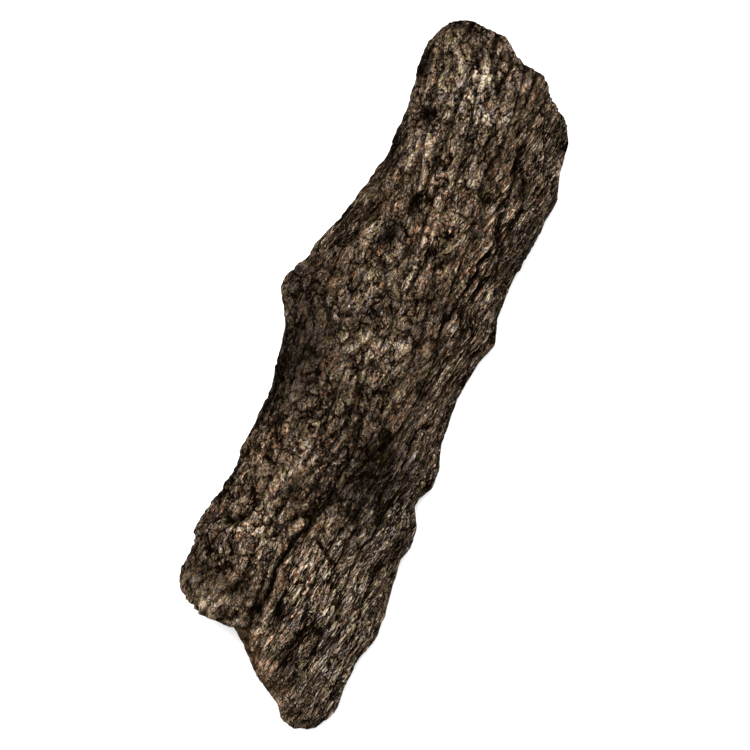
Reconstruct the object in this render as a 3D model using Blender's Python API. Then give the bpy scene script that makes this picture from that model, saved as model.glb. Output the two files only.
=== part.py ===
"""A slab of tree bark that came off a trunk: arched across, furrowed outside, hollow and fibrous beneath.

It lies on its two long edges with its outer face up. X runs across the slab, Y along the trunk's
grain and Z up. The origin is on the ground, under the middle of the slab. Every size in a table or a
constant below is in millimetres, and build_slab() turns the finished points into metres.
"""

import bpy
import numpy as np
from mathutils import Vector, noise

MM = 0.001

# Plan outline, seen from above. The sides give x for each y, and the broken ends give y for each x.
LEFT_SIDE = [
    (-252, -56), (-205, -56), (-195, -58), (-184, -61), (-161, -59), (-144, -65), (-128, -63),
    (-104, -62), (-84, -64), (-54, -62), (-36, -60), (-18, -63), (-1, -65), (10, -68), (23, -74),
    (34, -77), (46, -76), (53, -71), (69, -69), (100, -55), (123, -48), (139, -45), (170, -43),
    (209, -46), (252, -48),
]
RIGHT_SIDE = [
    (-247, 66), (-208, 66), (-191, 68), (-174, 74), (-148, 72), (-116, 69), (-107, 72), (-92, 71),
    (-78, 64), (-69, 66), (-62, 70), (-47, 70), (-30, 65), (5, 64), (33, 69), (49, 75), (67, 70),
    (91, 70), (118, 73), (142, 76), (160, 79), (177, 74), (193, 72), (208, 71),
]
LOWER_END = [
    (-64, -182), (-57, -193), (-44, -200), (-25, -200), (-12, -211), (6, -229), (28, -240),
    (35, -249), (47, -252), (66, -246),
]
UPPER_END = [
    (-48, 227), (-41, 247), (-25, 252), (-9, 250), (2, 250), (14, 240), (20, 237), (40, 234),
    (50, 222), (65, 215), (71, 208),
]
CORNER_SOFTENING = 1.2

# The arch across the trunk: its crest, and how full each flank is (2 is an ellipse, more is squarer).
CREST_X = [(-252, 8), (-150, -6), (0, -10), (120, -2), (252, 8)]
CREST_HEIGHT = [(-252, 42), (-205, 50), (-150, 57), (-60, 55), (40, 61), (130, 58), (210, 55), (252, 50)]
LEFT_FULLNESS = 2.7
RIGHT_FULLNESS = 2.05

# Height of each long edge above the ground. It comes down in three feet.
LEFT_EDGE_HEIGHT = [
    (-252, 12), (-190, 9), (-158, 0), (-136, 0), (-108, 7), (-40, 9), (30, 6), (90, 9), (134, 7),
    (156, 0), (180, 0), (206, 7), (252, 10),
]
RIGHT_EDGE_HEIGHT = [
    (-252, 12), (-200, 9), (-120, 6), (-60, 9), (-30, 6), (-10, 0), (14, 0), (36, 7), (90, 10),
    (150, 6), (207, 9),
]

# Wall of bark between the outer and the inner face.
WALL_AT_CREST = 19.0
WALL_AT_EDGE = 12.5
EDGE_BULGE = 1.5

# Unevenness of the broken edge: size across, size along and height.
EDGE_LUMPS = (12, 16, 1.1)
EDGE_CRUMBS = (5, 8, 0.66)

# Unevenness of the wall: size across, size along and depth. The last one is at the long edges only.
INNER_WAVES = (34, 70, 1.6)
INNER_FIBRES = (9, 80, 0.9)
RAGGED_RIM = (16, 20, 3.2)

# Swellings of the outer face: x, y, radius across, radius along, height.
SWELLINGS = [
    (-74, 36, 15, 17, 4.0),
    (-50, -168, 20, 26, 3.0),
    (22, 200, 30, 38, 2.5),
    (-22, 70, 26, 34, 2.5),
    (34, -20, 22, 40, 2.0),
    (29, -73, 20, 30, -4.0),
    (-30, -12, 17, 30, -3.0),
    (-24, 91, 9, 12, -3.0),
    (-38, 92, 6, 7, 2.0),
    (-29, 180, 5, 6, -3.5),
    (-14, 118, 5, 6, -3.5),
]

# The lobe at the lower left stands proud, left of this furrow and above the lip at its lower end.
LOBE_FURROW = [
    (-203, -30), (-199, -20), (-195, -11), (-186, -9), (-170, -9), (-152, -11), (-128, -6), (-110, 2),
    (-82, 4),
]
LOBE_HEIGHT = 7.0
LOBE_STEP = 5.0
LOBE_FADE = (-150, -82)

# Rounding of the outer face towards the broken ends: depth and reach.
TONGUE_BEVEL = (9.0, 17.0)
END_ROUNDING = (4.0, 9.0)

# Single cracks too deep for the rule: x and y of both ends, half width, depth.
CRACKS = [
    (9, -122, 27, -134, 2.0, 3.2),
    (-6, -124, -10, -160, 2.2, 3.2),
    (1, -103, 0, -122, 2.0, 2.8),
    (36, 38, 48, 118, 2.2, 3.2),
    (47, 118, 40, 190, 2.0, 2.8),
    (-22, 128, -26, 176, 2.0, 2.4),
]
CRACK_WAVES = (9, 13, 2.2)

# How far the grain has strayed sideways at each y.
GRAIN_LEAN = [(-252, -44), (-150, -24), (-60, -7), (20, 0), (80, -6), (150, -20), (252, -40)]

# Relief of the bark: size across, size along and height or depth.
WANDER = (42, 80, 6.0)
FURROWS = (15, 70, 2.8)
FURROW_WIDTH = 0.17
PLATES = (11.5, 21, 1.8)
PLATE_RIPPLE = (7, 11, 3.2)
UNDULATION = (60, 95, 2.6)
FIBRE_BANDS = (9, 80, 1.2)
LUMPS = (9, 13, 1.2)
CALM_SIDE = 0.08

# Grid of the solid. Both counts are even, because the inner face has every other row and column.
ROWS = 86
COLUMNS = 44
WALL_ROWS = 4


def along_table(table, y):
    """Value of a table at y, with the table's corners softened."""
    stations, values = np.transpose(table)
    steps = (-CORNER_SOFTENING, 0.0, CORNER_SOFTENING)
    return sum(np.interp(y + step, stations, values) for step in steps) / len(steps)


def ease(t):
    """From 0 to 1 with a soft start and end."""
    t = np.clip(t, 0.0, 1.0)
    return t * t * (3 - 2 * t)


def wander(across, along, size, length, seed):
    """Smooth noise from about -1 to 1, with blotches of that size across and length along."""
    across, along = np.broadcast_arrays(across, along)
    pairs = zip((across / size).ravel(), (along / length).ravel())
    values = [noise.noise(Vector((u, v, seed))) for u, v in pairs]
    return np.reshape(values, across.shape)


def cells(across, along, size, length, seed):
    """Irregular cells: how far each point is inside its own cell, and that cell's number from -1 to 1."""
    inside = []
    number = []
    for u, v in zip((across / size).ravel(), (along / length).ravel()):
        distances, centres = noise.voronoi(Vector((u, v, seed)))
        inside.append(distances[1] - distances[0])
        number.append(noise.cell(centres[0] * 11.7))
    return np.reshape(inside, across.shape), np.reshape(number, across.shape)


def flank_shape(angle):
    """Unit arch at an angle from the crest: how far out on its flank, and how high."""
    fullness = np.where(angle < 0, LEFT_FULLNESS, RIGHT_FULLNESS)
    out = np.sign(angle) * np.abs(np.sin(angle)) ** (2 / fullness)
    high = np.abs(np.cos(angle)) ** (2 / fullness)
    return out, high


def even_angles():
    """Angles round a middling arch, and the share of its arc from the left edge to each of them."""
    angles = np.radians(np.linspace(-90, 90, 721))
    out, high = flank_shape(angles)
    half_width = np.where(angles < 0, 56, 74)
    steps = np.hypot(np.diff(out * half_width), np.diff(high * 56))
    return angles, np.concatenate([[0], np.cumsum(steps)]) / steps.sum()


ARC_ANGLES, ARC_SHARES = even_angles()
ARC_LENGTH = 190.0


def arch(share, y):
    """Point of the smooth outer arch at a share of its arc, from the left edge at 0 to the right at 1."""
    angle = np.interp(share, ARC_SHARES, ARC_ANGLES)
    out, high = flank_shape(angle)
    crest = along_table(CREST_X, y)
    left = crest - along_table(LEFT_SIDE, y)
    right = along_table(RIGHT_SIDE, y) - crest
    x = crest + out * np.where(angle < 0, left, right)
    left_edge = along_table(LEFT_EDGE_HEIGHT, y)
    right_edge = along_table(RIGHT_EDGE_HEIGHT, y)
    blend = ease(share)
    edge = left_edge * (1 - blend) + right_edge * blend
    z = edge + (along_table(CREST_HEIGHT, y) - edge) * high
    return x, z


def share_at(x, y):
    """Share of the arc at which the arch passes over x."""
    shares = np.linspace(0, 1, 401)
    return float(np.interp(x, arch(shares, np.full_like(shares, y))[0], shares))


def end_line(outline, shares):
    """The y of a broken end at each share of the arc."""
    across = [share_at(x, y) for x, y in outline]
    return np.interp(shares, across, [y for _, y in outline])


def normals_of(points):
    """Unit normals of a grid of points, rows along the trunk and columns across it."""
    along = np.gradient(points, axis=0)
    across = np.gradient(points, axis=1)
    normals = np.cross(across, along)
    return normals / np.linalg.norm(normals, axis=2, keepdims=True)


def lobe(x, y):
    """Height of the lobe, which ends in a lip below and a furrow on its right."""
    furrow = along_table(LOBE_FURROW, y)
    fade = ease((LOBE_FADE[1] - y) / (LOBE_FADE[1] - LOBE_FADE[0]))
    return LOBE_HEIGHT * ease((furrow - x) / LOBE_STEP + 0.5) * fade


def cracks(x, y):
    """Depth of the single cracks."""
    size, length, reach = CRACK_WAVES
    x = x + reach * wander(x, y, size, length, 25.2)
    depth = np.zeros_like(x)
    for x0, y0, x1, y1, half_width, deep in CRACKS:
        dx, dy = x1 - x0, y1 - y0
        share = np.clip(((x - x0) * dx + (y - y0) * dy) / (dx * dx + dy * dy), 0, 1)
        away = np.hypot(x - x0 - share * dx, y - y0 - share * dy)
        depth = np.maximum(depth, deep * ease(1.6 - away / half_width) * ease(6 * share * (1 - share) + 0.3))
    return depth


def swellings(x, y):
    """Height of the knobs and hollows of the outer face."""
    height = np.zeros_like(x)
    for x0, y0, across, along, tall in SWELLINGS:
        height += tall * np.exp(-(((x - x0) / across) ** 2) - ((y - y0) / along) ** 2)
    return height


def grain(arc, y):
    """Coordinates that follow the wandering grain."""
    size, length, reach = WANDER
    across = arc - along_table(GRAIN_LEAN, y) + reach * wander(arc, y, size, length, 3.1)
    along = y + 1.5 * reach * wander(arc, y, size, length, 8.6)
    return across, along


def bark_relief(arc, y):
    """Furrows, plates and ridges of the outer face, above and below the smooth arch."""
    across, along = grain(arc, y)
    size, length, depth = FURROWS
    relief = depth * (ease(np.abs(wander(across, along, size, length, 1.7)) / FURROW_WIDTH) - 0.7)
    size, length, reach = PLATE_RIPPLE
    ripple = reach * wander(across, along, size, length, 9.7)
    size, length, depth = PLATES
    inside, number = cells(across + ripple, along + 1.6 * ripple, size, length, 5.3)
    relief += depth * (ease(inside / 0.3) - 0.7) + 0.7 * number
    size, length, height = FIBRE_BANDS
    relief += height * wander(across, along, size, length, 12.4)
    size, length, height = LUMPS
    relief += height * wander(across, along, size, length, 16.8)
    size, length, height = UNDULATION
    side = np.abs(arc) / ARC_LENGTH
    calm = 0.2 + 0.8 * ease((0.5 - side) / CALM_SIDE)
    return calm * relief + height * wander(arc, y, size, length, 21.9)


def from_ends(points):
    """Distance of each grid point from the lower and from the upper broken end, along its column."""
    steps = np.linalg.norm(np.diff(points, axis=0), axis=2)
    lower = np.concatenate([np.zeros((1, points.shape[1])), np.cumsum(steps, axis=0)])
    return lower, lower[-1] - lower


def outer_face(rows, columns):
    """The smooth arch, its normals and the finished outer face, as grids of points."""
    share = np.linspace(0, 1, columns + 1)
    low, high = end_line(LOWER_END, share), end_line(UPPER_END, share)
    y = low + (high - low) * np.linspace(0, 1, rows + 1)[:, None]
    share = np.broadcast_to(share, y.shape)
    x, z = arch(share, y)
    smooth = np.stack([x, y, z], axis=2)
    normals = normals_of(smooth)
    lower, upper = from_ends(smooth)
    on_tongue = ease((x - along_table(LOBE_FURROW, y)) / LOBE_STEP + 0.5)
    bevel = END_ROUNDING[0] + (TONGUE_BEVEL[0] - END_ROUNDING[0]) * on_tongue
    reach = END_ROUNDING[1] + (TONGUE_BEVEL[1] - END_ROUNDING[1]) * on_tongue
    offset = bark_relief((share - 0.5) * ARC_LENGTH, y) + swellings(x, y) + lobe(x, y) - cracks(x, y)
    offset -= bevel * (1 - ease(lower / reach)) + END_ROUNDING[0] * (1 - ease(upper / END_ROUNDING[1]))
    return smooth, normals, smooth + normals * offset[:, :, None]


def inner_face(smooth, normals):
    """The inner face, one wall inside the smooth arch, with the long ridges of the inner bark."""
    columns = smooth.shape[1] - 1
    share = np.broadcast_to(np.linspace(0, 1, columns + 1), smooth.shape[:2])
    y = smooth[:, :, 1]
    wall = WALL_AT_EDGE + (WALL_AT_CREST - WALL_AT_EDGE) * np.sin(np.pi * share)
    size, length, depth = INNER_WAVES
    wall = wall + depth * wander(share * ARC_LENGTH, y, size, length, 31.2)
    size, length, depth = INNER_FIBRES
    wall = wall + depth * wander(share * ARC_LENGTH, y, size, length, 35.8)
    size, length, depth = RAGGED_RIM
    wall = wall + depth * (1 - np.sin(np.pi * share)) * wander(share * ARC_LENGTH, y, size, length, 38.4)
    return smooth - normals * wall[:, :, None]


def perimeter(grid):
    """The outer ring of a grid's values, once round from its first corner."""
    return np.concatenate([grid[0, :-1], grid[:-1, -1], grid[-1, :0:-1], grid[:0:-1, 0]])


def outward(face):
    """At each point of a grid's ring, the direction off the face and away from it."""
    away = np.zeros_like(face)
    away[0] += face[0] - face[1]
    away[-1] += face[-1] - face[-2]
    away[:, 0] += face[:, 0] - face[:, 1]
    away[:, -1] += face[:, -1] - face[:, -2]
    ring = perimeter(away)
    return ring / np.linalg.norm(ring, axis=1, keepdims=True)


def broken_edge(outer, inner, smooth, rows):
    """Rings of points across the wall, from the outer face's edge to just before the inner face's."""
    start, end, away = perimeter(outer), perimeter(inner), outward(smooth)
    rings = []
    for row in range(1, rows):
        depth = row / rows
        x, y, z = (start * (1 - depth) + end * depth).T
        size, length, height = EDGE_LUMPS
        rough = height * wander(x + z, y, size, length, 41.0 + 2.3 * depth)
        size, length, height = EDGE_CRUMBS
        rough += height * wander(x + z, y, size, length, 47.0 + 4 * depth)
        bulge = np.sin(np.pi * depth) * (EDGE_BULGE + rough)
        rings.append(np.stack([x, y, z], axis=1) + away * bulge[:, None])
    return rings


def quad_grid(index):
    """Quads of a grid of vertex numbers, facing the way that the columns and then the rows turn."""
    corners = (index[:-1, :-1], index[:-1, 1:], index[1:, 1:], index[1:, :-1])
    return np.stack(corners, axis=2).reshape(-1, 4).tolist()


def slab_mesh(rows, columns, wall_rows):
    """Points in millimetres and faces of the whole slab, as one closed skin."""
    smooth, normals, outer = outer_face(rows, columns)
    inner = inner_face(smooth, normals)
    rings = broken_edge(outer, inner, smooth, wall_rows)
    coarse = inner[::2, ::2]
    points = np.concatenate([outer.reshape(-1, 3), *rings, coarse.reshape(-1, 3)])
    points[:, 2] = np.maximum(points[:, 2], 0.0)

    outer_index = np.arange(outer[:, :, 0].size).reshape(outer.shape[:2])
    first_inner = len(points) - coarse[:, :, 0].size
    inner_index = first_inner + np.arange(coarse[:, :, 0].size).reshape(coarse.shape[:2])
    faces = quad_grid(outer_index) + [face[::-1] for face in quad_grid(inner_index)]

    ring = perimeter(outer_index)
    around = len(ring)
    for step in range(wall_rows - 1):
        following = outer_index.size + step * around + np.arange(around)
        faces += np.stack([ring, following, np.roll(following, -1), np.roll(ring, -1)], axis=1).tolist()
        ring = following
    inner_ring = perimeter(inner_index)
    for k, corner in enumerate(inner_ring):
        next_corner = inner_ring[(k + 1) % len(inner_ring)]
        a, b, c = ring[2 * k], ring[2 * k + 1], ring[(2 * k + 2) % around]
        faces += [(a, corner, b), (b, corner, next_corner), (b, next_corner, c)]
    return points, faces


def bark_material():
    """Weathered outer bark, dark brown and dull."""
    material = bpy.data.materials.new("bark")
    material.use_nodes = True
    shader = material.node_tree.nodes["Principled BSDF"]
    shader.inputs["Base Color"].default_value = (0.065, 0.045, 0.030, 1)
    shader.inputs["Roughness"].default_value = 0.9
    shader.inputs["Metallic"].default_value = 0.0
    return material


def build_slab():
    """The slab of bark, as one object."""
    points, faces = slab_mesh(ROWS, COLUMNS, WALL_ROWS)
    mesh = bpy.data.meshes.new("bark")
    mesh.from_pydata((points * MM).tolist(), [], [list(map(int, face)) for face in faces])
    mesh.materials.append(bark_material())
    mesh.shade_smooth()
    slab = bpy.data.objects.new("bark", mesh)
    bpy.context.scene.collection.objects.link(slab)


def main():
    for obj in list(bpy.data.objects):
        bpy.data.objects.remove(obj)
    build_slab()


main()
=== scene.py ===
"""Looks for a slab of tree bark lying on a pale floor, seen from straight above.

The slab's skin is made again here, finer than in the frame and in the same form, with crumbs, splits,
pits and fibres. Each point also carries what its colour depends on: how deep it lies in the relief,
which paints shade into the hollows and light onto the ridges, which plate it is on, how fresh the
break is, and where shade is painted on the flanks, under the lobe's lip and in some patches. Sizes
are in millimetres, apart from those of the light, the floor and the camera, which are in metres.
"""

import bpy
import numpy as np
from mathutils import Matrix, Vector, noise


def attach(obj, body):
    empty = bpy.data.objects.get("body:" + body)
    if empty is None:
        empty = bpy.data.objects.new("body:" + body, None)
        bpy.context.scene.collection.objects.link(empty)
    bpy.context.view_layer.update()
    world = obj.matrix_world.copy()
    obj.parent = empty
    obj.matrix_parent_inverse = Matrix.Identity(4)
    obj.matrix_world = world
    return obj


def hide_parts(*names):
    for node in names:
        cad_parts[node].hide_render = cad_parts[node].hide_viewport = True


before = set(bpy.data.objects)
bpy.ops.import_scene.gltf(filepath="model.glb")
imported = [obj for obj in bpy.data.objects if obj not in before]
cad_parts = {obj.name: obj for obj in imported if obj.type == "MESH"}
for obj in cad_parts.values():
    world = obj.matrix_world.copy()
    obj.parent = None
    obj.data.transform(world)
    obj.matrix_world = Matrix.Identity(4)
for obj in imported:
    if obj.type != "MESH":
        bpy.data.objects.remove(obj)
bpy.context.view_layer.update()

MM = 0.001

# Plan outline, seen from above. The sides give x for each y, and the broken ends give y for each x.
LEFT_SIDE = [
    (-252, -56), (-205, -56), (-195, -58), (-184, -61), (-161, -59), (-144, -65), (-128, -63),
    (-104, -62), (-84, -64), (-54, -62), (-36, -60), (-18, -63), (-1, -65), (10, -68), (23, -74),
    (34, -77), (46, -76), (53, -71), (69, -69), (100, -55), (123, -48), (139, -45), (170, -43),
    (209, -46), (252, -48),
]
RIGHT_SIDE = [
    (-247, 66), (-208, 66), (-191, 68), (-174, 74), (-148, 72), (-116, 69), (-107, 72), (-92, 71),
    (-78, 64), (-69, 66), (-62, 70), (-47, 70), (-30, 65), (5, 64), (33, 69), (49, 75), (67, 70),
    (91, 70), (118, 73), (142, 76), (160, 79), (177, 74), (193, 72), (208, 71),
]
LOWER_END = [
    (-64, -182), (-57, -193), (-44, -200), (-25, -200), (-12, -211), (6, -229), (28, -240),
    (35, -249), (47, -252), (66, -246),
]
UPPER_END = [
    (-48, 227), (-41, 247), (-25, 252), (-9, 250), (2, 250), (14, 240), (20, 237), (40, 234),
    (50, 222), (65, 215), (71, 208),
]
CORNER_SOFTENING = 1.2

# The arch across the trunk: its crest, and how full each flank is (2 is an ellipse, more is squarer).
CREST_X = [(-252, 8), (-150, -6), (0, -10), (120, -2), (252, 8)]
CREST_HEIGHT = [(-252, 42), (-205, 50), (-150, 57), (-60, 55), (40, 61), (130, 58), (210, 55), (252, 50)]
LEFT_FULLNESS = 2.7
RIGHT_FULLNESS = 2.05

# A middling arch, on which the columns are spread evenly: reach to the left, reach to the right, height.
MIDDLING_ARCH = (56, 74, 56)
ARC_LENGTH = 190.0

# Height of each long edge above the ground. It comes down in three feet.
LEFT_EDGE_HEIGHT = [
    (-252, 12), (-190, 9), (-158, 0), (-136, 0), (-108, 7), (-40, 9), (30, 6), (90, 9), (134, 7),
    (156, 0), (180, 0), (206, 7), (252, 10),
]
RIGHT_EDGE_HEIGHT = [
    (-252, 12), (-200, 9), (-120, 6), (-60, 9), (-30, 6), (-10, 0), (14, 0), (36, 7), (90, 10),
    (150, 6), (207, 9),
]

# Wall of bark between the outer and the inner face.
WALL_AT_CREST = 19.0
WALL_AT_EDGE = 12.5
EDGE_BULGE = 1.5

# Unevenness of the broken edge: size across, size along and height.
EDGE_LUMPS = (12, 16, 1.1)
EDGE_CRUMBS = (5, 8, 0.66)
EDGE_SHREDS = (2.6, 3.4, 0.8)

# Unevenness of the wall: size across, size along and depth. The ragged rim is at the long edges only.
INNER_WAVES = (34, 70, 1.6)
INNER_FIBRES = (9, 80, 0.9)
INNER_STRANDS = (5, 60, 0.56)
INNER_SHREDS = (2.2, 42, 0.7)
RAGGED_RIM = (16, 20, 3.2)

# Swellings of the outer face: x, y, radius across, radius along, height.
SWELLINGS = [
    (-74, 36, 15, 17, 4.0),
    (-50, -168, 20, 26, 3.0),
    (22, 200, 30, 38, 2.5),
    (-22, 70, 26, 34, 2.5),
    (34, -20, 22, 40, 2.0),
    (29, -73, 20, 30, -4.0),
    (-30, -12, 17, 30, -3.0),
    (-24, 91, 9, 12, -3.0),
    (-38, 92, 6, 7, 2.0),
    (-29, 180, 5, 6, -3.5),
    (-14, 118, 5, 6, -3.5),
]

# The lobe at the lower left stands proud, left of this furrow and above the lip at its lower end.
LOBE_FURROW = [
    (-203, -30), (-199, -20), (-195, -11), (-186, -9), (-170, -9), (-152, -11), (-128, -6), (-110, 2),
    (-82, 4),
]
LOBE_HEIGHT = 7.0
LOBE_STEP = 4.0
LOBE_FADE = (-150, -82)

# Painted shadow under the lobe's lip, a dark line along the foot of its furrow: how far right of the
# furrow, half width, sway, and how it comes and goes.
FOOT_SHADOW_SHIFT = 2.0
FOOT_SHADOW_WIDTH = 2.6
FOOT_SHADOW_SWAY = (7, 11, 1.5)
FOOT_SHADOW_GAPS = (30, 14, 1.0)

# Rounding of the outer face towards the broken ends: depth and reach.
TONGUE_BEVEL = (9.0, 17.0)
END_ROUNDING = (4.0, 9.0)

# Single cracks too deep for the rule: x and y of both ends, half width, depth.
CRACKS = [
    (9, -122, 27, -134, 2.0, 3.2),
    (-6, -124, -10, -160, 2.2, 3.2),
    (1, -103, 0, -122, 2.0, 2.8),
    (36, 38, 48, 118, 2.2, 3.2),
    (47, 118, 40, 190, 2.0, 2.8),
    (-22, 128, -26, 176, 2.0, 2.4),
]
CRACK_WAVES = (9, 13, 2.2)

# How far the grain has strayed sideways at each y, and how much it leans all along the sloping flank.
GRAIN_LEAN = [(-252, -44), (-150, -24), (-60, -7), (20, 0), (80, -6), (150, -20), (252, -40)]
FLANK_LEAN = 0.25

# Relief of the bark: size across, size along and height or depth.
WANDER = (42, 80, 6.0)
FURROWS = (15, 70, 2.8)
FURROW_WIDTH = 0.17
FURROW_CRACK = 0.05
PLATES = (11.5, 21, 1.8)
PLATE_RIPPLE = (7, 11, 3.2)
PLATE_EDGE = 0.2
PLATE_CRACK = 0.06
PLATE_STEP = 0.7
UNDULATION = (60, 95, 2.6)
FIBRE_BANDS = (9, 80, 1.2)
LUMPS = (9, 13, 1.2)
SIDE_SHARE = 0.08

# Relief that only the finer skin has, in the same order. The splits also have a width.
LONG_SPLITS = (6.0, 60, 1.9, 0.075)
SHORT_SPLITS = (3.0, 28, 1.2, 0.1)
CURVED_SPLITS = (12, 18, 1.8, 0.07)
CRUMBS = (4.4, 7.5, 0.62)
GRAINS = (1.9, 3.3, 0.35)
FINE_GRAINS = (1.1, 1.9, 0.245)
SHREDS = (1.8, 26, 1.275)
BROAD_SHREDS = (4.2, 26, 0.75)
PITS = (9, 14, 1.6)
PIT_LEVEL = 0.36

# Places where the bark is paler or darker: stains, and painted shade in the dark bands along the left edge,
# in the shadow right of the knob at (-38, 92) and in the small dark holes. x, y, radius across, radius
# along, lightness.
STAINS_AND_SHADE = [
    (-8, 214, 15, 15, 1.30),
    (12, 196, 8, 14, 0.90),
    (31, 196, 8, 10, 0.70),
    (-34, 227, 8, 8, 1.00),
    (-30, 249, 12, 7, -1.30),
    (-23, 211, 6, 8, -0.80),
    (-10, 229, 12, 7, -0.90),
    (-44, 213, 7, 15, -1.60),
    (-22, 158, 9, 14, 0.45),
    (41, 132, 8, 12, 0.75),
    (35, 98, 8, 10, 0.60),
    (26, 216, 7, 7, 0.70),
    (10, 127, 10, 14, 0.65),
    (-38, 92, 6, 8, 1.40),
    (-23, 92, 7, 11, -2.00),
    (-29, 180, 5, 6, -2.20),
    (-14, 118, 4, 6, -2.20),
    (11, 211, 3, 4, -2.40),
    (20, 204, 5, 8, -0.70),
    (-2, 141, 6, 8, 0.80),
    (-40, 154, 7, 18, -1.30),
    (10, -26, 9, 12, -0.60),
    (-16, -76, 8, 10, 0.70),
    (-54, 98, 8, 28, -1.20),
    (-23, 38, 9, 10, -0.60),
    (14, 8, 22, 20, 0.20),
    (-52, -10, 17, 46, -1.00),
    (-36, -8, 9, 14, -0.60),
    (-61, -40, 6, 50, -0.90),
    (-66, 40, 9, 18, -0.80),
    (-18, -40, 14, 26, -0.40),
    (28, -64, 21, 28, -1.15),
    (5, -92, 11, 11, -0.90),
    (50, -84, 10, 16, -0.60),
    (-64, -102, 7, 12, -1.50),
    (-48, -86, 12, 14, 0.40),
    (-28, -126, 9, 26, 0.50),
    (8, -142, 13, 16, 0.85),
    (21, -158, 8, 9, 0.50),
    (25, -123, 8, 10, 0.75),
    (40, -151, 14, 22, 0.45),
    (55, -209, 9, 18, 0.60),
    (70, -183, 5, 12, 0.60),
    (1, -200, 7, 7, 1.20),
    (-10, -180, 4, 7, -1.30),
    (-2, -185, 5, 9, 1.30),
    (4, -177, 4, 6, -1.10),
    (9, -221, 7, 7, 1.10),
    (-46, -146, 12, 9, -1.00),
    (-60, -194, 7, 6, 1.10),
    (-62, -118, 4, 6, -1.80),
    (-25, -38, 7, 8, 0.60),
    (-44, -191, 8, 6, 0.80),
    (-32, -185, 10, 7, 1.10),
    (-47, -170, 5, 6, -0.90),
    (-27, -173, 6, 5, -0.70),
    (-16, -205, 9, 6, -1.10),
    (24, -212, 10, 18, -0.60),
    (30, -238, 9, 8, 0.50),
    (-68, -168, 10, 22, -1.40),
    (64, 112, 9, 30, -0.90),
    (64, 5, 6, 14, -0.60),
    (44, 164, 11, 15, -0.80),
    (71, 180, 5, 10, 0.60),
    (64, 204, 9, 14, -0.50),
    (24, 233, 8, 6, -0.80),
    (29, 57, 7, 9, -0.60),
]

# Places where the bark is browner, or greyer where the number is below zero: the same five numbers.
CASTS = [
    (-44, -82, 24, 50, 0.60),
    (-12, -108, 14, 14, 0.40),
    (-54, 100, 12, 36, 0.70),
    (30, 105, 32, 42, 0.50),
    (40, 175, 14, 24, 0.40),
    (38, -90, 28, 36, -1.20),
    (48, -200, 14, 36, -0.80),
    (-5, 190, 30, 30, -0.60),
    (-20, 50, 22, 18, -0.50),
    (-48, -4, 16, 44, -0.60),
    (68, 130, 9, 50, -0.60),
    (12, -222, 12, 11, 1.30),
    (-4, -203, 10, 8, 1.20),
    (-1, -160, 4, 4, 1.20),
    (6, -134, 16, 30, 0.60),
    (-30, 120, 14, 24, 0.50),
    (-30, 203, 7, 7, 1.20),
]

# Places where the bark is calmer, or rougher where the number is below zero: the same five numbers.
CALMS = [
    (-46, -8, 16, 42, 1.10),
    (-30, -88, 24, 16, 0.60),
    (-14, -8, 14, 26, 0.35),
    (26, -68, 18, 26, 0.30),
    (-56, 20, 10, 18, 0.40),
    (16, -150, 34, 38, -0.70),
    (58, -196, 14, 40, -0.50),
    (-36, -130, 14, 12, -0.80),
    (4, 204, 20, 20, -0.60),
    (-44, -180, 18, 18, 0.15),
    (30, 110, 24, 50, -0.40),
]

# Neighbourhoods in which a point counts as deep or high, for the painted shade in hollows and painted light
# on ridges: reach in rows, reach in columns, weight.
NEIGHBOURHOODS = [(2, 2, 1.0), (5, 6, 0.9), (11, 15, 0.8)]

# Grid of the skin. Both counts are even, because the inner face has every other row and column.
ROWS = 330
COLUMNS = 188
WALL_ROWS = 9


def along_table(table, y):
    """Value of a table at y, with the table's corners softened."""
    stations, values = np.transpose(table)
    steps = (-CORNER_SOFTENING, 0.0, CORNER_SOFTENING)
    return sum(np.interp(y + step, stations, values) for step in steps) / len(steps)


def ease(t):
    """From 0 to 1 with a soft start and end."""
    t = np.clip(t, 0.0, 1.0)
    return t * t * (3 - 2 * t)


def wander(across, along, size, length, seed):
    """Smooth noise from about -1 to 1, with blotches of that size across and length along."""
    across, along = np.broadcast_arrays(across, along)
    pairs = zip((across / size).ravel(), (along / length).ravel())
    values = [noise.noise(Vector((u, v, seed))) for u, v in pairs]
    return np.reshape(values, across.shape)


def waves(kind, across, along, seed):
    """Smooth unevenness of one kind: its size across, its size along and its height."""
    size, length, height = kind
    return height * wander(across, along, size, length, seed)


def cells(across, along, size, length, seed):
    """Irregular cells: how far each point is inside its own cell, and that cell's number from -1 to 1."""
    inside = []
    number = []
    for u, v in zip((across / size).ravel(), (along / length).ravel()):
        distances, centres = noise.voronoi(Vector((u, v, seed)))
        inside.append(distances[1] - distances[0])
        number.append(noise.cell(centres[0] * 11.7))
    return np.reshape(inside, across.shape), np.reshape(number, across.shape)


def flank_shape(angle):
    """Unit arch at an angle from the crest: how far out on its flank, and how high."""
    fullness = np.where(angle < 0, LEFT_FULLNESS, RIGHT_FULLNESS)
    out = np.sign(angle) * np.abs(np.sin(angle)) ** (2 / fullness)
    high = np.abs(np.cos(angle)) ** (2 / fullness)
    return out, high


def even_angles():
    """Angles round a middling arch, and the share of its arc from the left edge to each of them."""
    left, right, height = MIDDLING_ARCH
    angles = np.radians(np.linspace(-90, 90, 721))
    out, high = flank_shape(angles)
    reach = np.where(angles < 0, left, right)
    steps = np.hypot(np.diff(out * reach), np.diff(high * height))
    return angles, np.concatenate([[0], np.cumsum(steps)]) / steps.sum()


ARC_ANGLES, ARC_SHARES = even_angles()


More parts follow.
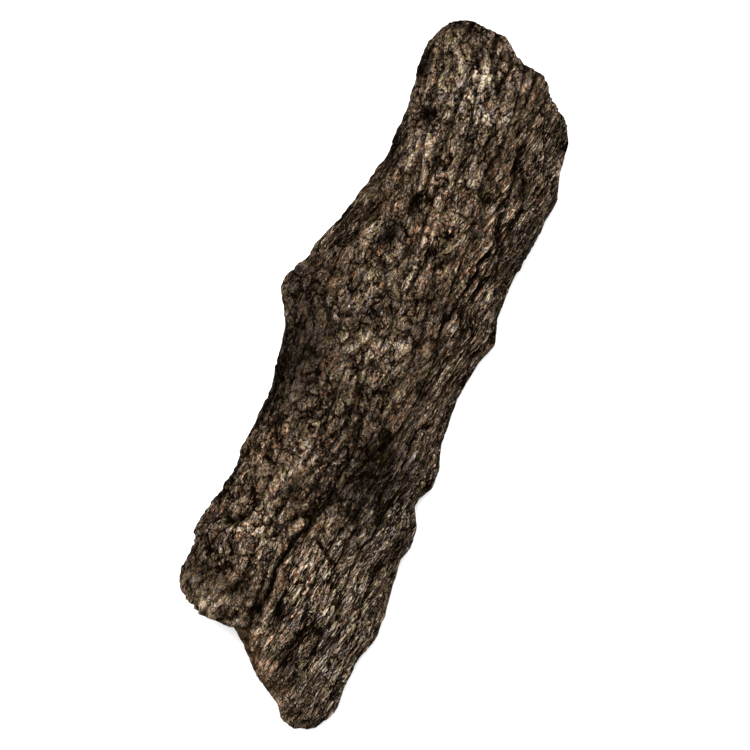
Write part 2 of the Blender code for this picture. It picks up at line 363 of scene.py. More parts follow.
def arch(share, y):
    """Point of the smooth outer arch at a share of its arc, from the left edge at 0 to the right at 1."""
    angle = np.interp(share, ARC_SHARES, ARC_ANGLES)
    out, high = flank_shape(angle)
    crest = along_table(CREST_X, y)
    left = crest - along_table(LEFT_SIDE, y)
    right = along_table(RIGHT_SIDE, y) - crest
    x = crest + out * np.where(angle < 0, left, right)
    left_edge = along_table(LEFT_EDGE_HEIGHT, y)
    right_edge = along_table(RIGHT_EDGE_HEIGHT, y)
    blend = ease(share)
    edge = left_edge * (1 - blend) + right_edge * blend
    z = edge + (along_table(CREST_HEIGHT, y) - edge) * high
    return x, z


def share_at(x, y):
    """Share of the arc at which the arch passes over x."""
    shares = np.linspace(0, 1, 401)
    return float(np.interp(x, arch(shares, np.full_like(shares, y))[0], shares))


def end_line(outline, shares):
    """The y of a broken end at each share of the arc."""
    across = [share_at(x, y) for x, y in outline]
    return np.interp(shares, across, [y for _, y in outline])


def normals_of(points):
    """Unit normals of a grid of points, rows along the trunk and columns across it."""
    along = np.gradient(points, axis=0)
    across = np.gradient(points, axis=1)
    normals = np.cross(across, along)
    return normals / np.linalg.norm(normals, axis=2, keepdims=True)


def lobe(x, y):
    """Height of the lobe, which ends in a lip below and a furrow on its right."""
    furrow = along_table(LOBE_FURROW, y)
    fade = ease((LOBE_FADE[1] - y) / (LOBE_FADE[1] - LOBE_FADE[0]))
    return LOBE_HEIGHT * ease((furrow - x) / LOBE_STEP + 0.5) * fade


def on_tongue(x, y):
    """From 0 on the lobe's side of the furrow to 1 on the other side, where the tongue is."""
    return ease((x - along_table(LOBE_FURROW, y)) / LOBE_STEP + 0.5)


def shadow_at_lobe_foot(x, y):
    """How much each point is in the painted shadow line at the lobe's foot, a dark line standing in for the
    shade under the lip.
    """
    middle = along_table(LOBE_FURROW, y) + waves(FOOT_SHADOW_SWAY, x, y, 28.9) + FOOT_SHADOW_SHIFT
    below = ease((LOBE_FADE[1] - 22 - y) / 20)
    open_here = 0.25 + 0.75 * ease((waves(FOOT_SHADOW_GAPS, x, y, 33.3) + 0.2) / 0.3)
    return (1 - ease(np.abs(x - middle) / FOOT_SHADOW_WIDTH)) * below * open_here


def cracks(x, y):
    """Depth of the single cracks."""
    x = x + waves(CRACK_WAVES, x, y, 25.2)
    depth = np.zeros_like(x)
    for x0, y0, x1, y1, half_width, deep in CRACKS:
        dx, dy = x1 - x0, y1 - y0
        share = np.clip(((x - x0) * dx + (y - y0) * dy) / (dx * dx + dy * dy), 0, 1)
        away = 1.7 * np.hypot(x - x0 - share * dx, y - y0 - share * dy)
        taper = ease(6 * share * (1 - share) + 0.3)
        depth = np.maximum(depth, deep * ease(1.6 - away / half_width) * taper)
    return depth


def patches(table, x, y):
    """Sum of a table of soft oval patches."""
    total = np.zeros_like(x)
    for x0, y0, across, along, amount in table:
        total += amount * np.exp(-(((x - x0) / across) ** 2) - ((y - y0) / along) ** 2)
    return total


def grain(arc, y):
    """Coordinates that follow the wandering grain: two across it, the second as on the flank, one along."""
    stray = waves(WANDER, arc, y, 3.1)
    along = y + 1.5 * waves(WANDER, arc, y, 8.6)
    return arc - along_table(GRAIN_LEAN, y) + stray, arc - FLANK_LEAN * y + stray, along


def bark_relief(across, along, arc, y, stringy):
    """Furrows, plates and ridges of the outer face, each plate's number, and where the cracks are."""
    size, length, depth = FURROWS
    line = np.abs(wander(across, along, size, length, 1.7))
    relief = depth * (ease(line / FURROW_WIDTH) - 0.7)
    crack = 1 - ease(line / FURROW_CRACK)
    size, length, depth = PLATES
    ripple = waves(PLATE_RIPPLE, across, along, 9.7)
    inside, plate = cells(across + ripple, along + 1.6 * ripple, size, length, 5.3)
    relief += depth * (1 - 0.6 * stringy) * (ease(inside / PLATE_EDGE) - 0.8) + PLATE_STEP * plate
    crack = np.maximum(crack, 0.6 * (1 - stringy) * (1 - ease(inside / PLATE_CRACK)))
    relief += waves(FIBRE_BANDS, across, along, 12.4) + waves(LUMPS, across, along, 16.8)
    side = np.abs(arc) / ARC_LENGTH
    calm = 0.2 + 0.8 * ease((0.5 - side) / SIDE_SHARE)
    return calm * relief + waves(UNDULATION, arc, y, 21.9), plate, crack * calm


def streaked(x, y):
    """How far the bark is drawn out along the grain, from 0 where it is lumpy to 1 where it is stringy."""
    flank = ease((x - 8) / 46)
    tongue = ease((-88 - y) / 50) * ease((x + 12) / 18)
    steep_side = ease((y - 45) / 25) * ease((-36 - x) / 12)
    lip = 0.45 * ease((-158 - y) / 16) * ease((x + 66) / 14)
    return np.maximum.reduce([flank, tongue, steep_side, lip])


def split(kind, across, along, seed):
    """Depth of narrow splits that wander along the grain."""
    size, length, depth, width = kind
    line = np.abs(wander(across, along, size, length, seed))
    return depth * (1 - ease(line / width))


def splits(across, along):
    """Long and short splits together: their depth, and where the cracks are."""
    long_splits = split(LONG_SPLITS, across, along, 83.2)
    short_splits = split(SHORT_SPLITS, across, along, 88.7)
    crack = np.maximum(long_splits / LONG_SPLITS[2], 0.6 * short_splits / SHORT_SPLITS[2])
    return long_splits + 0.8 * short_splits, crack


def fine_relief(across, slanted, along, stringy):
    """Crumbs, splits, shreds and pits, and where the cracks are."""
    crumbs = waves(CRUMBS, across, along, 61.3)
    shreds = waves(SHREDS, slanted, along, 67.5) + waves(BROAD_SHREDS, slanted, along, 70.2)
    relief = crumbs * (1 - 0.65 * stringy) + shreds * (0.2 + 1.05 * stringy)
    relief += waves(GRAINS, across, along, 74.9) + waves(FINE_GRAINS, across, along, 79.4)
    size, length, depth = PITS
    relief -= depth * ease((wander(across, along, size, length, 93.6) - PIT_LEVEL) / 0.2)
    curved = split(CURVED_SPLITS, across, along, 97.3)
    upright, upright_crack = splits(across, along)
    leaning, leaning_crack = splits(slanted, along)
    relief -= (0.55 * upright + curved) * (1 - stringy) + leaning * stringy
    crack = np.maximum(0.6 * upright_crack, curved / CURVED_SPLITS[2])
    return relief, crack * (1 - stringy) + leaning_crack * stringy


def from_ends(points):
    """Distance of each grid point from the lower and from the upper broken end, along its column."""
    steps = np.linalg.norm(np.diff(points, axis=0), axis=2)
    lower = np.concatenate([np.zeros((1, points.shape[1])), np.cumsum(steps, axis=0)])
    return lower, lower[-1] - lower


def blurred(grid, rows, columns):
    """A grid smoothed over about that many rows and columns each way."""
    for axis, reach in ((0, rows), (1, columns)):
        weights = np.exp(-0.5 * (np.arange(-3 * reach, 3 * reach + 1) / reach) ** 2)
        weights /= weights.sum()
        ends = [(0, 0), (0, 0)]
        ends[axis] = (3 * reach, 3 * reach)
        padded = np.pad(grid, ends, mode="edge")
        grid = np.apply_along_axis(np.convolve, axis, padded, weights, mode="valid")
    return grid


def depth_in_relief(relief):
    """How deep or high each point lies among its neighbours, about -1 in a crack and 1 on a ridge."""
    total = np.zeros_like(relief)
    for rows, columns, weight in NEIGHBOURHOODS:
        above = relief - blurred(relief, rows, columns)
        total += weight * above / above.std()
    return np.clip(total / 4.2, -1.2, 1.2)


def rounding(x, y, smooth):
    """How far the outer face draws back towards the two broken ends."""
    lower, upper = from_ends(smooth)
    tongue = on_tongue(x, y)
    depth = END_ROUNDING[0] + (TONGUE_BEVEL[0] - END_ROUNDING[0]) * tongue
    reach = END_ROUNDING[1] + (TONGUE_BEVEL[1] - END_ROUNDING[1]) * tongue
    at_upper = END_ROUNDING[0] * (1 - ease(upper / END_ROUNDING[1]))
    return depth * (1 - ease(lower / reach)) + at_upper


def looks_of(x, y, share, smooth, stringy, relief, plate, crack):
    """What the colour depends on, at each point of the outer face."""
    # Painted shade: the bark darkens within a tenth of the arc of each long edge, where the flanks turn
    # down.
    side_shade = 1 - ease(np.minimum(share, 1 - share) / 0.10)
    foot_shadow = shadow_at_lobe_foot(x, y)
    beside_tongue = 1 - 0.7 * ease((-180 - y) / 10) * ease((x + 16) / 8)
    lip_shadow = foot_shadow * ease((-150 - y) / 25) * beside_tongue
    stain_and_shade = patches(STAINS_AND_SHADE, x, y)
    lower = from_ends(smooth)[0]
    return {
        # Painted shade in the hollows and painted light on the ridges, by how deep each point lies.
        "depth": depth_in_relief(relief),
        "tone": plate,
        # The cracks also carry the painted shadow line at the lobe's foot.
        "crack": np.maximum.reduce([*crack, cracks(x, y) / 3, foot_shadow]),
        # Painted shade: the flanks near the long edges and the shadow under the lobe's lip, on top of the
        # stains and painted shade of the patches.
        "stain_and_shade": stain_and_shade - 0.5 * side_shade - 1.1 * lip_shadow,
        # The darker patches, painted shade among them, also turn the cast greyer.
        "cast": patches(CASTS, x, y) + 0.8 * np.minimum(stain_and_shade, 0),
        "calm": patches(CALMS, x, y),
        "stringy": stringy,
        "fresh": on_tongue(x, y) * (1 - ease((lower - 8) / 14)) * ease((44 - x) / 20),
        "inner": np.zeros_like(x),
        "layer": np.zeros_like(x),
    }


def outer_face(rows, columns):
    """The smooth arch, its normals, the finished outer face and what its colour depends on, as grids."""
    share = np.linspace(0, 1, columns + 1)
    low, high = end_line(LOWER_END, share), end_line(UPPER_END, share)
    y = low + (high - low) * np.linspace(0, 1, rows + 1)[:, None]
    share = np.broadcast_to(share, y.shape)
    x, z = arch(share, y)
    smooth = np.stack([x, y, z], axis=2)
    normals = normals_of(smooth)
    arc = (share - 0.5) * ARC_LENGTH
    across, slanted, along = grain(arc, y)
    stringy = streaked(x, y)
    relief, plate, wide_crack = bark_relief(across, along, arc, y, stringy)
    fine, narrow_crack = fine_relief(across, slanted, along, stringy)
    at_side = ease(np.minimum(share, 1 - share) / SIDE_SHARE)
    busy = (0.25 + 0.75 * at_side) * (1 - 0.45 * patches(CALMS, x, y))
    relief = relief + fine * busy - cracks(x, y)
    offset = relief + patches(SWELLINGS, x, y) + lobe(x, y) - rounding(x, y, smooth)
    looks = looks_of(x, y, share, smooth, stringy, relief, plate, (wide_crack, narrow_crack))
    return smooth, normals, smooth + normals * offset[:, :, None], looks


def inner_face(smooth, normals):
    """The inner face, one wall inside the smooth arch, with the long ridges of the inner bark."""
    columns = smooth.shape[1] - 1
    share = np.broadcast_to(np.linspace(0, 1, columns + 1), smooth.shape[:2])
    y = smooth[:, :, 1]
    arc = share * ARC_LENGTH
    crest = np.sin(np.pi * share)
    wall = WALL_AT_EDGE + (WALL_AT_CREST - WALL_AT_EDGE) * crest
    wall += waves(INNER_WAVES, arc, y, 31.2) + waves(INNER_FIBRES, arc, y, 35.8)
    wall += (1 - crest) * waves(RAGGED_RIM, arc, y, 38.4)
    wall += waves(INNER_SHREDS, arc, y, 99.1) + waves(INNER_STRANDS, arc, y, 104.3)
    return smooth - normals * wall[:, :, None]


def perimeter(grid):
    """The outer ring of a grid's values, once round from its first corner."""
    return np.concatenate([grid[0, :-1], grid[:-1, -1], grid[-1, :0:-1], grid[:0:-1, 0]])


def outward(face):
    """At each point of a grid's ring, the direction off the face and away from it."""
    away = np.zeros_like(face)
    away[0] += face[0] - face[1]
    away[-1] += face[-1] - face[-2]
    away[:, 0] += face[:, 0] - face[:, 1]
    away[:, -1] += face[:, -1] - face[:, -2]
    ring = perimeter(away)
    return ring / np.linalg.norm(ring, axis=1, keepdims=True)


def broken_edge(outer, inner, smooth, rows):
    """Rings of points across the wall, from the outer face's edge to just before the inner face's."""
    start, end, away = perimeter(outer), perimeter(inner), outward(smooth)
    rings = []
    for row in range(1, rows):
        depth = row / rows
        x, y, z = (start * (1 - depth) + end * depth).T
        rough = waves(EDGE_LUMPS, x + z, y, 41.0 + 2.3 * depth)
        rough += waves(EDGE_CRUMBS, x + z, y, 47.0 + 4 * depth)
        middle = np.sin(np.pi * depth)
        splinters = waves(EDGE_SHREDS, x, y, 110 + 5 * depth) * middle ** 0.5
        bulge = middle * (EDGE_BULGE + rough) + splinters
        rings.append(np.stack([x, y, z], axis=1) + away * bulge[:, None])
    return rings


def quad_grid(index):
    """Quads of a grid of vertex numbers, facing the way that the columns and then the rows turn."""
    corners = (index[:-1, :-1], index[:-1, 1:], index[1:, 1:], index[1:, :-1])
    return np.stack(corners, axis=2).reshape(-1, 4).tolist()


def skin_faces(outer_shape, inner_shape, wall_rows):
    """Faces of the whole skin as one closed mesh: outer face, broken edge all round, inner face."""
    outer_index = np.arange(outer_shape[0] * outer_shape[1]).reshape(outer_shape)
    ring = perimeter(outer_index)
    around = len(ring)
    first_inner = outer_index.size + (wall_rows - 1) * around
    inner_index = first_inner + np.arange(inner_shape[0] * inner_shape[1]).reshape(inner_shape)
    faces = quad_grid(outer_index) + [face[::-1] for face in quad_grid(inner_index)]
    for step in range(wall_rows - 1):
        following = outer_index.size + step * around + np.arange(around)
        faces += np.stack([ring, following, np.roll(following, -1), np.roll(ring, -1)], axis=1).tolist()
        ring = following
    inner_ring = perimeter(inner_index)
    for k, corner in enumerate(inner_ring):
        next_corner = inner_ring[(k + 1) % len(inner_ring)]
        a, b, c = ring[2 * k], ring[2 * k + 1], ring[(2 * k + 2) % around]
        faces += [(a, corner, b), (b, corner, next_corner), (b, next_corner, c)]
    return [list(map(int, face)) for face in faces]


def spread_looks(looks, rings, inner_shape):
    """What the colour depends on, at every point of the skin: outer grid, rings of the edge, inner grid.

    The inner bark's colour comes in between 0.3 and 0.8 of the way through the wall.
    """
    spread = {}
    for name, grid in looks.items():
        ring = perimeter(grid)
        parts = [grid.ravel()]
        for row in range(1, rings + 1):
            depth = row / (rings + 1)
            if name == "inner":
                parts.append(np.full_like(ring, ease(depth * 1.9 - 0.55)))
            elif name == "fresh":
                parts.append(np.maximum(ring, ease(depth * 3)))
            elif name == "layer":
                parts.append(np.full_like(ring, depth))
            else:
                parts.append(ring * (1 - depth))
        within = 1.0 if name in ("inner", "fresh", "layer") else 0.0
        parts.append(np.full(inner_shape[0] * inner_shape[1], within))
        spread[name] = np.concatenate(parts)
    return spread


# Noise of the colour: size across, size along, detail, roughness and shift. Where there are two, they
# are for the lumpy bark and for the stringy bark.
COARSE_GRAIN = [(3.4, 6.0, 4.0, 0.72, 0.0), (1.9, 24.0, 3.5, 0.70, 0.0)]
FINE_GRAIN = [(0.95, 2.0, 2.0, 0.65, 5.0), (0.75, 9.0, 2.0, 0.62, 5.0)]
SOFT_BLOTCHES = (8.0, 13.0, 2.0, 0.6, 13.0)
VAST_BLOTCHES = (24.0, 36.0, 2.0, 0.5, 17.0)
SEAM_GAPS = (7.0, 12.0, 1.0, 0.5, 61.0)
WARM_BLOTCHES = (9.0, 15.0, 1.0, 0.5, 91.0)
LAYER_SWAY = (12.0, 14.0, 2.0, 0.6, 33.0)
INNER_THREADS = (1.2, 34.0, 3.0, 0.6, 40.0)
INNER_BANDS = (7.0, 90.0, 2.0, 0.5, 47.0)
BROKEN_CRUMBS = (1.6, 3.0, 2.0, 0.6, 52.0)

# Thin dark lines: size across, size along, width and shift, for the lumpy and for the stringy bark.
WIDE_SEAMS = [(10.0, 16.0, 0.036, 71.0), (4.2, 60.0, 0.050, 71.0)]
THIN_SEAMS = [(5.6, 9.0, 0.034, 83.0), (1.9, 30.0, 0.055, 83.0)]

# Noise of the hue: size across, size along, detail and shift.
HUES = (4.6, 8.0, 3.0, 29.0)
HUE_FLECKS = (1.9, 3.2, 1.5, 37.0)

# The bend that keeps the colour from running straight: blotches in each metre, reach in metres.
BEND_SCALE = 150.0
BEND_REACH = (0.0045, 0.0065, 0.0045)

# Growth layers in a broken edge: how many through the wall, their sway, and the size of their patches.
LAYER_COUNT = 9.0
LAYER_SWING = 7.0
LAYER_PATCH = 26.0

# Value of the outer bark before anything lightens or darkens it, and how much the fine grain does so
# in the lumpy and in the stringy bark.
MIDDLE_VALUE = 0.576
FINE_GRAIN_AMOUNTS = (1.36, 1.86)

# Share of the broken bark's colour where the break is fresh.
FRESH_SHARE = 0.38

# Height of the relief that is too fine for the skin's points, in metres.
BUMP_HEIGHT = 0.0022

# Colours from the darkest value to the palest.
OUTER_COLOURS = [
    (0.00, (0.0020, 0.0010, 0.0004)),
    (0.18, (0.0056, 0.0036, 0.0020)),
    (0.34, (0.0172, 0.0116, 0.0072)),
    (0.50, (0.0472, 0.0332, 0.0220)),
    (0.66, (0.1080, 0.0780, 0.0530)),
    (0.82, (0.2300, 0.1770, 0.1270)),
    (1.00, (0.5300, 0.4350, 0.3300)),
]
INNER_COLOURS = [
    (0.00, (0.012, 0.006, 0.003)),
    (0.35, (0.055, 0.030, 0.016)),
    (0.60, (0.130, 0.078, 0.044)),
    (1.00, (0.300, 0.210, 0.130)),
]

# Casts that the outer colour is multiplied by.
RUST = (1.26, 0.94, 0.75, 1.0)
OLIVE = (1.01, 1.04, 0.75, 1.0)
GREY = (0.93, 0.99, 1.22, 1.0)
PLAIN = (1.0, 1.0, 1.0, 1.0)


def add(tree, kind, inputs=None, **settings):
    """Adds a node, with its settings, and its inputs linked or filled in."""
    made = tree.nodes.new(kind)
    for name, value in settings.items():
        setattr(made, name, value)
    for key, value in (inputs or {}).items():
        if isinstance(value, bpy.types.NodeSocket):
            tree.links.new(value, made.inputs[key])
        else:
            made.inputs[key].default_value = value
    return made


def maths(tree, operation, a, b=0.5, c=0.5):
    """Result of one sum on plain values."""
    return add(tree, "ShaderNodeMath", {0: a, 1: b, 2: c}, operation=operation).outputs[0]


def scaled(tree, value, amount):
    """A value times an amount."""
    return maths(tree, "MULTIPLY", value, amount)


def centred(tree, value, amount):
    """A value from 0 to 1 taken as a push up or down from its middle."""
    return maths(tree, "MULTIPLY_ADD", value, amount, -0.5 * amount)


def summed(tree, values):
    """Sum of several values."""
    total = values[0]
    for value in values[1:]:
        total = maths(tree, "ADD", total, value)
    return total


def between(tree, value, low, high):
    """How far a value is on its way from low to high, kept from 0 to 1."""
    steep = 1 / (high - low)
    share = maths(tree, "MULTIPLY_ADD", value, steep, -low * steep)
    return add(tree, "ShaderNodeClamp", {0: share}).outputs[0]


def mixed(tree, share, a, b):
    """One value turned into another."""
    return add(tree, "ShaderNodeMix", {0: share, 2: a, 3: b}, data_type="FLOAT").outputs[0]


def blend(tree, share, a, b, mode="MIX"):
    """One colour blended into another."""
    inputs = {0: share, 6: a, 7: b}
    return add(tree, "ShaderNodeMix", inputs, data_type="RGBA", blend_type=mode).outputs[2]


def ramp(tree, value, stops):
    """Colour of a value along a list of (place, colour)."""
    made = add(tree, "ShaderNodeValToRGB", {0: value})
    elements = made.color_ramp.elements
    while len(elements) < len(stops):
        elements.new(0.5)
    for element, (place, colour) in zip(elements, stops):
        element.position = place
        element.color = (*colour, 1.0)
    return made.outputs[0]


def reading(tree, name):
    """A value that each point of the skin carries."""
    return add(tree, "ShaderNodeAttribute", attribute_type="GEOMETRY", attribute_name=name).outputs["Fac"]


def stretched(tree, place, size, length, shift):
    """Coordinates that count cells of that size across and length along."""
    made = add(
        tree, "ShaderNodeVectorMath",
        {0: place, 1: (1 / (size * MM), 1 / (length * MM), 1 / (size * MM)), 2: (shift, shift, shift)},
        operation="MULTIPLY_ADD",
    )
    return made.outputs[0]


def cloudy(tree, at, detail, **more):
    """Noise at the given coordinates."""
    inputs = {"Vector": at, "Scale": 1.0, "Detail": detail, **more}
    return add(tree, "ShaderNodeTexNoise", inputs).outputs


def grainy(tree, place, size, length, detail, rough, shift):
    """Noise stretched along the grain, from 0 to 1."""
    return cloudy(tree, stretched(tree, place, size, length, shift), detail, Roughness=rough)["Fac"]


def hued(tree, place, size, length, detail, shift):
    """Noise stretched along the grain as three values, from 0 to 1."""
    noisy = cloudy(tree, stretched(tree, place, size, length, shift), detail)["Color"]
    return add(tree, "ShaderNodeSeparateColor", {0: noisy}).outputs


def seams(tree, place, size, length, width, shift):
    """Thin lines that wander along the grain, from 0 away from them to 1 on them."""
    noisy = grainy(tree, place, size, length, 1.6, 0.5, shift)
    away = maths(tree, "ABSOLUTE", maths(tree, "SUBTRACT", noisy, 0.5))
    return between(tree, away, width, 0.2 * width)


def leaning(tree, place):
    """Coordinates that lean with the grain of the sloping flank."""
    x, y, z = add(tree, "ShaderNodeSeparateXYZ", {0: place}).outputs
    across = maths(tree, "MULTIPLY_ADD", y, -FLANK_LEAN, x)
    return add(tree, "ShaderNodeCombineXYZ", {0: across, 1: y, 2: z}).outputs[0]


def bent_place(tree):
    """Coordinates on the slab, bent a little."""
    place = add(tree, "ShaderNodeTexCoord").outputs["Object"]
    noisy = {"Vector": place, "Scale": BEND_SCALE, "Detail": 4.0, "Roughness": 0.62}
    bend = add(tree, "ShaderNodeTexNoise", noisy).outputs["Color"]
    inputs = {0: bend, 1: BEND_REACH, 2: place}
    return add(tree, "ShaderNodeVectorMath", inputs, operation="MULTIPLY_ADD").outputs[0]


def two_ways(tree, pattern, places, kinds, stringy):
    """One pattern made for the lumpy and for the stringy bark, and turned from one into the other."""
    lumpy, drawn_out = [pattern(tree, place, *kind) for place, kind in zip(places, kinds)]
    return mixed(tree, stringy, lumpy, drawn_out)


def bark_patterns(tree, place, stringy):
    """Coarse grain, fine grain, wide seams and thin seams. Both the colour and the bump have them."""
    places = (place, leaning(tree, place))
    coarse = two_ways(tree, grainy, places, COARSE_GRAIN, stringy)
    fine = two_ways(tree, grainy, places, FINE_GRAIN, stringy)
    open_here = between(tree, grainy(tree, place, *SEAM_GAPS), 0.42, 0.56)
    wide_seams = maths(tree, "MULTIPLY", two_ways(tree, seams, places, WIDE_SEAMS, stringy), open_here)
    thin_seams = two_ways(tree, seams, places, THIN_SEAMS, stringy)
    return coarse, fine, wide_seams, thin_seams


def growth_layers(tree, place):
    """Lines across a broken edge where one layer of bark gives way to the next, from 0 to 1."""
    sway = scaled(tree, grainy(tree, place, *LAYER_SWAY), LAYER_SWING)
    through = maths(tree, "MULTIPLY_ADD", reading(tree, "layer"), LAYER_COUNT, sway)
    parts = add(tree, "ShaderNodeSeparateXYZ", {0: stretched(tree, place, LAYER_PATCH, LAYER_PATCH, 0.0)})
    at = add(tree, "ShaderNodeCombineXYZ", {0: through, 1: parts.outputs[0], 2: parts.outputs[1]})
    return cloudy(tree, at.outputs[0], 2.0, Roughness=0.6)["Fac"]


def tinted(tree, colour, warmth, greyness):
    """The colour with a rusty or olive cast by one value and a grey cast by another."""
    tint = blend(tree, between(tree, warmth, 0.50, 0.76), PLAIN, RUST)
    tint = blend(tree, between(tree, warmth, 0.50, 0.24), tint, OLIVE)
    tint = blend(tree, between(tree, greyness, 0.50, 0.74), tint, GREY)
    return blend(tree, 1.0, colour, tint, "MULTIPLY")


def outer_value(tree, place, stringy, fresh, patterns):
    """How pale the outer bark is: dark in cracks and seams, pale on plates and ridges, with painted shade
    in the hollows and painted light on the ridges, and painted shade on the flanks, under the lip and in
    some patches.
    """
    coarse, fine, wide_seams, thin_seams = patterns
    busy = summed(tree, [
        centred(tree, coarse, 0.93),
        maths(tree, "MULTIPLY", centred(tree, fine, 1.0), mixed(tree, stringy, *FINE_GRAIN_AMOUNTS)),
        centred(tree, grainy(tree, place, *SOFT_BLOTCHES), 0.28),
        scaled(tree, wide_seams, -0.46),
        scaled(tree, thin_seams, -0.34),
        # The cracks here include the painted shadow line at the lobe's foot.
        scaled(tree, reading(tree, "crack"), -0.26),
        # Painted shade in the hollows and painted light on the ridges.
        scaled(tree, reading(tree, "depth"), 0.13),
    ])
    busy = maths(tree, "MULTIPLY", busy, maths(tree, "MULTIPLY_ADD", reading(tree, "calm"), -0.38, 1.0))
    busy = maths(tree, "MULTIPLY", busy, maths(tree, "MULTIPLY_ADD", fresh, 0.35, 1.0))
    return summed(tree, [
        maths(tree, "ADD", busy, MIDDLE_VALUE),
        scaled(tree, fresh, 0.04),
        scaled(tree, reading(tree, "tone"), 0.05),
        # Stains and painted shade: the darker patches, the flanks and the shadow under the lip.
        scaled(tree, reading(tree, "stain_and_shade"), 0.24),
        centred(tree, grainy(tree, place, *VAST_BLOTCHES), 0.12),
    ])


def outer_colour(tree, place, fresh, value):
    """Near-black cracks, brown plates, tan and cream flecks, with rusty, olive and grey casts."""
    hues = hued(tree, place, *HUES)
    flecks = hued(tree, place, *HUE_FLECKS)
    cast = reading(tree, "cast")
    warmth = summed(tree, [
        maths(tree, "MULTIPLY_ADD", hues[0], 1.4, -0.20),
        centred(tree, grainy(tree, place, *WARM_BLOTCHES), 0.55),
        centred(tree, flecks[0], 1.1),
        scaled(tree, cast, 0.08),
        scaled(tree, fresh, 0.10),
    ])
    greyness = summed(tree, [
        maths(tree, "MULTIPLY_ADD", hues[1], 1.2, -0.10),
        scaled(tree, cast, -0.12),
        centred(tree, flecks[1], 1.1),
    ])
    return tinted(tree, ramp(tree, value, OUTER_COLOURS), warmth, greyness)


def under_colours(tree, place, patterns):
    """Colours of the broken edge and of the inner face, both fibrous and browner than outside."""
    coarse, _, wide_seams, thin_seams = patterns
    layers = growth_layers(tree, place)
    crumbs = grainy(tree, place, *BROKEN_CRUMBS)
    inner_value = summed(tree, [
        maths(tree, "MULTIPLY_ADD", grainy(tree, place, *INNER_THREADS), 1.6, -0.32),
        centred(tree, grainy(tree, place, *INNER_BANDS), 0.7),
        centred(tree, crumbs, 0.40),
        centred(tree, layers, 0.7),
        centred(tree, coarse, 0.3),
    ])
    broken_value = summed(tree, [
        maths(tree, "MULTIPLY_ADD", crumbs, 1.5, -0.30),
        centred(tree, coarse, 1.3),
        centred(tree, layers, 1.2),
        scaled(tree, wide_seams, -0.35),
        scaled(tree, thin_seams, -0.15),
    ])
    return ramp(tree, broken_value, INNER_COLOURS), ramp(tree, inner_value, INNER_COLOURS)


def bumps(tree, patterns):
    """Relief that is too fine for the skin's points."""
    coarse, fine, wide_seams, thin_seams = patterns
    height = summed(tree, [
        scaled(tree, wide_seams, -0.45),
        scaled(tree, thin_seams, -0.20),
        scaled(tree, coarse, 0.98),
        scaled(tree, fine, 0.75),
    ])
    inputs = {"Strength": 1.0, "Distance": BUMP_HEIGHT, "Height": height}
    return add(tree, "ShaderNodeBump", inputs).outputs[0]


def dull_shader(tree, roughness):
    """The material's shader, rough and without gloss."""
    shader = tree.nodes["Principled BSDF"]
    shader.inputs["Roughness"].default_value = roughness
    shader.inputs["Specular IOR Level"].default_value = 0.0
    shader.inputs["Metallic"].default_value = 0.0
    return shader


def bark_material():
    """Weathered bark outside, fibrous bark where it is broken and within."""
    material = bpy.data.materials.new("bark")
    material.use_nodes = True
    tree = material.node_tree
    place = bent_place(tree)
    stringy = reading(tree, "stringy")
    fresh = reading(tree, "fresh")
    patterns = bark_patterns(tree, place, stringy)
    colour = outer_colour(tree, place, fresh, outer_value(tree, place, stringy, fresh, patterns))
    broken, inner = under_colours(tree, place, patterns)
    colour = blend(tree, scaled(tree, fresh, FRESH_SHARE), colour, broken)
    colour = blend(tree, reading(tree, "inner"), colour, inner)
    shader = dull_shader(tree, 0.92)
    tree.links.new(colour, shader.inputs["Base Color"])
    tree.links.new(bumps(tree, patterns), shader.inputs["Normal"])
    return material


def build_bark():
    """The slab's skin, in place of the frame's."""
    smooth, normals, outer, looks = outer_face(ROWS, COLUMNS)
    inner = inner_face(smooth, normals)
    rings = broken_edge(outer, inner, smooth, WALL_ROWS)
    coarse = inner[::2, ::2]
    points = np.concatenate([outer.reshape(-1, 3), *rings, coarse.reshape(-1, 3)])
    points[:, 2] = np.maximum(points[:, 2], 0.0)
    faces = skin_faces(outer.shape[:2], coarse.shape[:2], WALL_ROWS)
    mesh = bpy.data.meshes.new("bark_skin")
    mesh.from_pydata((points * MM).tolist(), [], faces)
    for name, values in spread_looks(looks, len(rings), coarse.shape[:2]).items():
        layer = mesh.attributes.new(name, "FLOAT", "POINT")
        layer.data.foreach_set("value", values.astype(np.float32))
    mesh.materials.append(bark_material())
    mesh.shade_smooth()
    skin = bpy.data.objects.new("bark_skin", mesh)
    bpy.context.scene.collection.objects.link(skin)
    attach(skin, "root")
    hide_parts("bark")


FLOOR_REACH = 3.0
FLOOR_COLOUR = (0.92, 0.92, 0.92, 1)


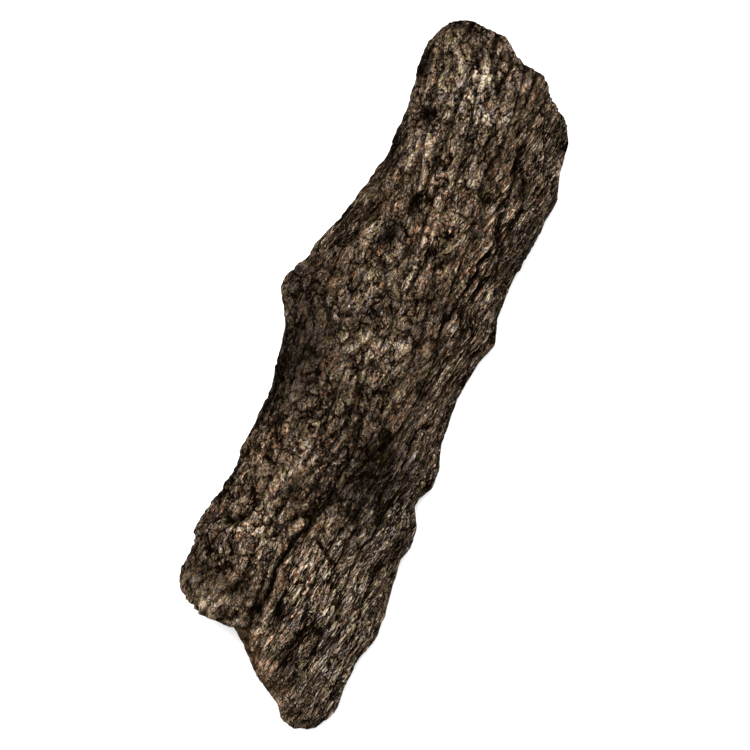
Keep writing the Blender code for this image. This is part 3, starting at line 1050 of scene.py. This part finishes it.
def build_floor():
    """A pale floor."""
    mesh = bpy.data.meshes.new("floor")
    corners = [(-1, -1), (1, -1), (1, 1), (-1, 1)]
    mesh.from_pydata([(x * FLOOR_REACH, y * FLOOR_REACH, 0) for x, y in corners], [], [(0, 1, 2, 3)])
    material = bpy.data.materials.new("floor")
    material.use_nodes = True
    dull_shader(material.node_tree, 0.9).inputs["Base Color"].default_value = FLOOR_COLOUR
    mesh.materials.append(material)
    floor = bpy.data.objects.new("floor", mesh)
    bpy.context.scene.collection.objects.link(floor)


LIGHT_PLACE = (-0.28, 0.33, 1.7)
LIGHT_SIZE = 1.6
LIGHT_POWER = 86.0
SURROUND_STRENGTH = 0.50


def build_light():
    """A square soft light above, which faces the middle of the slab, and an even white surround."""
    light = bpy.data.lights.new("overhead", "AREA")
    light.shape = "SQUARE"
    light.size = LIGHT_SIZE
    light.energy = LIGHT_POWER
    lamp = bpy.data.objects.new("overhead", light)
    lamp.location = LIGHT_PLACE
    lamp.rotation_euler = (-Vector(LIGHT_PLACE)).to_track_quat("-Z", "Y").to_euler()
    bpy.context.scene.collection.objects.link(lamp)
    world = bpy.data.worlds.new("surround")
    world.use_nodes = True
    background = world.node_tree.nodes["Background"]
    background.inputs["Color"].default_value = (1, 1, 1, 1)
    background.inputs["Strength"].default_value = SURROUND_STRENGTH
    bpy.context.scene.world = world
    bpy.context.scene.view_settings.view_transform = "Standard"
    bpy.context.scene.view_settings.look = "None"


# The camera looks straight down from far away, turned so that the slab leans to the right. The view's
# width is measured at the height of the slab's outline.
CAMERA_TURN = 21.7
CAMERA_HEIGHT = 2.015
OUTLINE_HEIGHT = 0.015
VIEW_WIDTH = 0.528
VIEW_CENTRE = (0.0047, -0.00165)
SENSOR_WIDTH = 36.0


def build_camera():
    """The camera that sees the slab as the photograph does."""
    data = bpy.data.cameras.new("camera")
    data.sensor_width = SENSOR_WIDTH
    data.lens = SENSOR_WIDTH * (CAMERA_HEIGHT - OUTLINE_HEIGHT) / VIEW_WIDTH
    data.clip_end = 20.0
    camera = bpy.data.objects.new("camera", data)
    camera.location = (*VIEW_CENTRE, CAMERA_HEIGHT)
    camera.rotation_euler = (0, 0, np.radians(CAMERA_TURN))
    bpy.context.scene.collection.objects.link(camera)
    bpy.context.scene.camera = camera


build_bark()
build_floor()
build_light()
build_camera()
